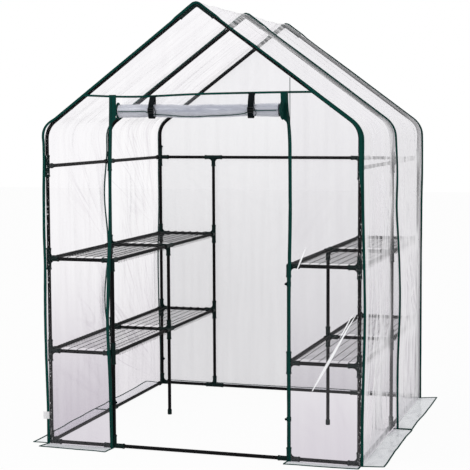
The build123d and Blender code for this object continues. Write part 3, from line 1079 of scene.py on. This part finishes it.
def make_header():
    low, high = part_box("header_tape")[0][2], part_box("header_tape")[1][2]
    left, right = (edge[0] for edge in cover_edge(np.array([header_height]), -panel_y))
    x = np.linspace(left, right, 120)
    sag = header_sag(x) + 0.0015 * wander(x, 0.25, 101)
    path = np.column_stack([x, np.full_like(x, -panel_y - header_layer), header_height + sag])
    shapes = Shapes()
    shapes.sweep(path, flat_section(0.0016, high - low - 0.003), (0, 0, 1))
    seam_x = door_half_width + 0.012
    rafter_z = ridge_height - seam_x * tan(slope) - tube_radius / cos(slope)
    seam_y = -panel_y - upright_seam_layer
    seam = [(seam_x, seam_y, z) for z in np.linspace(header_height - 0.16, rafter_z, 30)]
    shapes.sweep(seam, round_section(0.0016, 6), (1, 0, 0))
    shapes.make("header_strip", green_tape, ["header_tape"])


def make_zipper(name, side):
    """One side of the zip: a tape down the jamb with a row of coil teeth on its free edge."""
    z = np.linspace(0.002, header_height - 0.004, 260)
    x = jamb_x(z, side)
    head = step(z, header_height - 0.128, header_height - 0.105)
    half_tape = zip_tape_width / 2
    free_width = half_tape + head * (zip_head_width - zip_tape_width) + 0.001 * wander(z, 0.05, 111)
    front = -panel_y - zip_layer - 0.002 * np.abs(wander(z, 0.15, 112))
    half_thickness = 0.0006
    rings = []
    for free, sewn, y, height in zip(x - side * free_width, x + side * half_tape, front, z):
        outer, inner = y - half_thickness, y + half_thickness
        corners = ((free, outer), (sewn, outer), (sewn, inner), (free, inner))
        rings.append([(*corner, height) for corner in corners])
    tape = Shapes()
    tape.loft(rings)
    tape.make(f"{name}_zip_tape", green_tape, ["door_zipper_tapes"])
    teeth = Shapes()
    path = []
    for k in range(4 * int((header_height - 0.01) / zip_tooth_pitch)):
        angle = k * pi / 2
        height = zip_tooth_pitch + k * 0.001
        tooth_x = float(np.interp(height, z, x)) - side * (0.003 - 0.0014 * cos(angle))
        tooth_y = float(np.interp(height, z, front)) - 0.0012 + 0.0009 * sin(angle)
        path.append((tooth_x, tooth_y, height))
    teeth.sweep(path, round_section(0.0006, 4), (0, 1, 0.001))
    teeth.make(f"{name}_zip_coil", zip_plastic)


for row, row_y, seam_y in zip(row_names, rows, (-panel_y, 0.0, panel_y)):
    make_seam_binding(row, row_y, seam_y)
make_header()
for name, side in both_sides:
    make_zipper(name, side)


# The rolled-up door, its ties and the small tag

roll_low, roll_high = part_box("rolled_door")
roll_radius = (roll_high[1] - roll_low[1]) / 2
roll_y = -half_depth - film_gap - roll_radius
roll_z = roll_low[2] + roll_radius
roll_end = roll_high[0]
roll_from = 0.032 - roll_end
roll_to = roll_end + 0.002
roll_turns = 11
# Where round the roll its painted shade band is darkest
roll_shade_angle = radians(200)
tie_left = -0.195
tie_right = 0.245
tie_width = 0.026
tie_lean = 0.0130
tie_half_thickness = 0.0007


def between_ties(x):
    """How far along x lies from the left tie to the right one, from 0 to 1."""
    return np.clip((x - tie_left) / (tie_right - tie_left), 0, 1)


def roll_shape(x, angle):
    """Radius of the roll's outside: lumpy, slack between the ties and drawn in under them."""
    pinch = sum(np.exp(-(((x - tie) / 0.03) ** 2)) for tie in (tie_left, tie_right))
    lumps = 0.0022 * noise(x, angle, 0.09, 0.8, 121) + 0.0012 * noise(x, angle, 0.03, 0.5, 122)
    return roll_radius - 0.0035 + lumps - 0.003 * pinch


def roll_cloud_and_shade(x, a):
    """How cloudy the wound film is: clear on its outer turn, opaque inside, and with painted shade in a dark
    band along its front.
    """
    # Painted shade: a dark band along the roll's front, fainter left of the left tie
    right_of_tie = 0.35 + 0.65 * step(x, tie_left - 0.02, tie_left + 0.04)
    painted_shade_band = np.exp(-(((a % (2 * pi) - roll_shade_angle) / 0.7) ** 2)) * right_of_tie
    outer_turn = 0.15 + 0.16 * noise(x, a, 0.16, 0.30, 123) + 0.25 * painted_shade_band
    inner_turn = 0.80 + 0.20 * painted_shade_band + 0.06 * noise(x, a, 0.10, 0.20, 124)
    inside = step(a, 2 * pi - 0.3, 2 * pi + 0.6)
    return outer_turn + (inner_turn - outer_turn) * inside


def make_rolled_door():
    """One sheet: down from the header, then wound up from the outside to the middle."""
    line_x = np.linspace(roll_from, roll_to, 100)
    angle = np.linspace(0, 2 * pi * roll_turns, 26 * roll_turns)
    x, a = np.meshgrid(line_x, angle, indexing="ij")
    share = a / a.max()
    radius = roll_shape(x, a % (2 * pi)) * (1 - 0.80 * share)
    sag = -0.004 * np.sin(pi * between_ties(x)) ** 2
    slant = 0.006 * (x / roll_end) * share
    y = roll_y + radius * np.cos(a) + slant
    z = roll_z + sag - radius * np.sin(a) - 0.004 * share
    crease_and_shade = roll_cloud_and_shade(x, a)

    drop = np.linspace(0, 1, 9)[:-1]
    count = len(drop)
    drop_x = np.repeat(line_x[:, None], count, axis=1)
    hang_y = roll_y + roll_shape(line_x, 0 * line_x)
    drop_y = -panel_y + (hang_y[:, None] + panel_y) * np.linspace(0, 1, count)[None, :]
    drop_top = (header_height + header_sag(line_x))[:, None]
    drop_z = drop_top + (roll_z - drop_top) * drop[None, :]
    x, y, z = (np.concatenate(pair, axis=1) for pair in ((drop_x, x), (drop_y, y), (drop_z, z)))
    crease_and_shade = np.concatenate([np.full((len(line_x), count), 0.08), crease_and_shade], axis=1)
    add_film("door_roll", x, y, z, crease_and_shade, roll_film, ["rolled_door"])


def tie_path(gap, tie_x):
    """From the header down round the front of the roll and up behind it, in the side plane."""
    radius = roll_radius + gap
    top = np.array((-panel_y - tie_layer, header_height + header_sag(tie_x) - 0.001))
    centre = np.array((roll_y, roll_z))
    reach = float(np.hypot(*(top - centre)))
    middle = atan2(top[1] - centre[1], top[0] - centre[0])
    half = acos(radius / reach)
    turns = np.linspace(middle + half, middle - half + 2 * pi, 30)
    around = [centre + radius * np.array((cos(t), sin(t))) for t in turns]
    down = [top + (around[0] - top) * share for share in np.linspace(0, 0.85, 6)]
    behind = top + np.array((0.003, 0.0))
    up = [around[-1] + (behind - around[-1]) * share for share in np.linspace(0.15, 1, 6)]
    return down + around + up


def make_tie(name, x, seed):
    strap = Shapes()
    path = tie_path(0.0006, x)
    rings = []
    for k, (y, z) in enumerate(path):
        before, after = path[max(k - 1, 0)], path[min(k + 1, len(path) - 1)]
        along = np.array((after[0] - before[0], after[1] - before[1]))
        along /= np.linalg.norm(along)
        normal = np.array((along[1], -along[0])) * tie_half_thickness
        half = tie_width / 2 * (1 - 0.14 * sin(pi * min(k / 22, 1)) ** 2)
        lean = tie_lean * (path[0][0] - y) / (2 * roll_radius)
        corners = ((-half, -1), (half, -1), (half, 1), (-half, 1))
        rings.append([(x + dx + lean, y + normal[0] * way, z + normal[1] * way) for dx, way in corners])
    strap.loft(rings)
    add_tie_tail(strap, x, seed)
    strap.make(f"{name}_tie_strap", black_webbing, ["door_ties"])


def add_tie_tail(strap, x, seed):
    """The tie's thin loose end, which hangs in waves beside the strap."""
    heights = np.linspace(header_height - 0.006, roll_z - 0.026, 40)
    fall = header_height - heights
    sway = 0.0035 * wander(heights, 0.018, seed)
    tail_x = x + tie_width / 2 + 0.004 + sway + 0.018 * step(fall, 0.02, 0.09)
    share = step(fall, 0.0, 0.05)
    tail_y = (1 - share) * (-panel_y - tail_layer) + share * (roll_y - roll_radius - 0.0035)
    strap.sweep(np.column_stack([tail_x, tail_y, heights]), flat_section(0.003, 0.0012), (0, 1, 0.2))


def make_tie_sliders():
    """Small plastic sliders on the straps: three cross bars between two side bars."""
    sliders = Shapes()
    section = flat_section(0.0026, 0.0026)
    low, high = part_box("tie_buckles")
    half = (high[2] - low[2]) / 2
    front = roll_y - roll_radius - 0.0036
    for x in (tie_left + tie_lean, tie_right + tie_lean):
        for dz in (-half, 0, half):
            bar = [(x + dx, front, roll_z + dz) for dx in np.linspace(-0.012, 0.012, 5)]
            sliders.sweep(bar, section, (0, 0, 1))
        for dx in (-0.0125, 0.0125):
            post = [(x + dx, front, roll_z + dz) for dz in np.linspace(-half, half, 5)]
            sliders.sweep(post, section, (1, 0, 0))
    sliders.make("tie_sliders", black_plastic, ["tie_buckles"])


def make_roll_ends():
    """The zip tape's spare length, coiled with the film at both ends of the roll."""
    shapes = Shapes()
    per_turn, turns = 26, 6
    for middle_x, width in ((roll_from - 0.005, 0.014), (roll_to + 0.012, 0.022)):
        path = []
        for k in range(per_turn * turns):
            angle = 2 * pi * k / per_turn
            radius = (roll_radius - 0.001) * (1 - 0.82 * k / (per_turn * turns))
            x = middle_x + 0.002 * sin(angle * 0.7)
            path.append((x, roll_y + radius * cos(angle), roll_z - radius * sin(angle)))
        shapes.sweep(path, flat_section(width, 0.0016), (1, 0, 0))
    shapes.make("roll_end_tapes", green_tape)


def make_roll_hem():
    """The door's hem, which shows as a dark line along the roll and sags between the ties."""
    shapes = Shapes()
    x = np.linspace(roll_from + 0.004, roll_to - 0.004, 160)
    between = between_ties(x)
    inside = (x > tie_left) & (x < tie_right)
    turn = 185 + np.where(inside, 26 + 18 * np.sin(pi * between), 0)
    turn = np.convolve(np.pad(turn, 4, mode="edge"), np.ones(9) / 9, mode="valid")
    angle = np.radians(turn + 3 * wander(x, 0.05, 141))
    radius = roll_shape(x, (2 * pi - angle) % (2 * pi)) + 0.0012
    sag = -0.004 * np.sin(pi * between) ** 2
    path = np.column_stack([x, roll_y + radius * np.cos(angle), roll_z + sag + radius * np.sin(angle)])
    shapes.sweep(path, round_section(0.0018, 6), (0, 0.2, 1))
    shapes.make("roll_hem", green_tape)


def make_care_tag():
    """A small blank label that curls away from the seam."""
    low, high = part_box("care_tag")
    half_thickness = 0.0004
    rings = []
    for k in range(13):
        share = k / 12
        x = high[0] - (high[0] - low[0]) * share
        y = (low[1] + high[1]) / 2 - 0.004 * sin(pi * share) - 0.003 * share
        front, back = y - half_thickness, y + half_thickness
        rings.append([(x, front, low[2]), (x, back, low[2]), (x, back, high[2]), (x, front, high[2])])
    shapes = Shapes()
    shapes.loft(rings)
    shapes.make("care_label", white_label, ["care_tag"])


# Black ribbons that tie the film to the posts: x, row and height
post_ribbons = (
    (-half_width, rows[2], 0.14),
    (-half_width, rows[2], 1.30),
    (inner_x, rows[0], 0.756),
    (inner_x, rows[0], 0.18),
    (-inner_x, rows[0], 0.205),
)
ribbon_width = 0.018
knot_radius = 0.0055


def make_post_ribbons():
    shapes = Shapes()
    profile = [(0, tube_radius), (0, tube_radius + 0.0018)]
    profile += [(ribbon_width, tube_radius + 0.0022), (ribbon_width, tube_radius)]
    for x, y, z in post_ribbons:
        shapes.lathe((x, y, z - ribbon_width / 2), (0, 0, 1), profile, 14)
        inward = -1 if x > 0 else 1
        add_ball(shapes, (x + inward * (tube_radius + 0.004), y - 0.004, z), knot_radius, 10)
    shapes.make("post_ribbons", black_webbing)


make_tie("left", tie_left, 131)
make_tie("right", tie_right, 134)
make_tie_sliders()
make_rolled_door()
make_roll_ends()
make_roll_hem()
make_care_tag()
make_post_ribbons()


# Camera, floor and light

camera_place = (1.8579, -6.0563, 1.4473)
camera_turn = 0.3064
camera_down = 0.0870
camera_roll = -0.0047
camera_lens = 101.95
floor_size = 40.0
floor_drop = 0.0008
floor_white_share = 0.94
world_light = 0.78
lamp_place = (-3.0, -4.5, 4.5)
lamp_target = (0, 0, 0.9)
lamp_size = 2.5
lamp_power = 120


def make_camera():
    data = bpy.data.cameras.new("camera")
    data.lens = camera_lens
    data.sensor_width = 36.0
    camera = new_object("camera", data)
    turn = Matrix.Rotation(camera_turn, 4, "Z") @ Matrix.Rotation(pi / 2 - camera_down, 4, "X")
    camera.matrix_world = Matrix.Translation(camera_place) @ turn @ Matrix.Rotation(camera_roll, 4, "Z")
    bpy.context.scene.camera = camera


def white_light(tree, kind, strength):
    return add(tree, kind, {"Color": (1, 1, 1, 1), "Strength": strength}).outputs[0]


def seen_directly(tree):
    """1 for what the camera sees straight, in a reflection or through glass."""
    rays = add(tree, "LightPath").outputs
    first = calc(tree, "MAXIMUM", rays["Is Camera Ray"], rays["Is Glossy Ray"])
    return calc(tree, "MAXIMUM", first, rays["Is Transmission Ray"])


def make_floor():
    material, tree = blank_material("pale_floor")
    grey = colour_between(tree, stretched_noise(tree, (3, 3, 3)), (0.80, 0.80, 0.80), (0.84, 0.84, 0.84))
    matte = add(tree, "BsdfDiffuse", {"Color": grey}).outputs[0]
    white = white_light(tree, "Emission", 1.0)
    share = calc(tree, "MULTIPLY", seen_directly(tree), floor_white_share)
    add(tree, "OutputMaterial", {"Surface": mixed(tree, share, matte, white)})
    half = floor_size / 2
    corners = [(-half, -half), (half, -half), (half, half), (-half, half)]
    mesh = new_mesh("floor", [(x, y, -floor_drop) for x, y in corners], [(0, 1, 2, 3)])
    mesh.materials.append(material)
    floor = new_object("floor", mesh)


def make_world():
    world = bpy.data.worlds.new("studio")
    world.use_nodes = True
    tree = world.node_tree
    tree.nodes.clear()
    light, white = (white_light(tree, "Background", strength) for strength in (world_light, 1.0))
    add(tree, "OutputWorld", {"Surface": mixed(tree, seen_directly(tree), light, white)})
    bpy.context.scene.world = world


def make_lamp():
    data = bpy.data.lights.new("key_lamp", "AREA")
    data.size = lamp_size
    data.energy = lamp_power
    lamp = new_object("key_lamp", data)
    lamp.location = lamp_place
    x, y, z = np.array(lamp_target) - np.array(lamp_place)
    lamp.rotation_euler = (atan2(hypot(x, y), -z), 0, atan2(y, x) - pi / 2)


make_camera()
make_floor()
make_world()
make_lamp()
bpy.context.scene.view_settings.view_transform = "Standard"
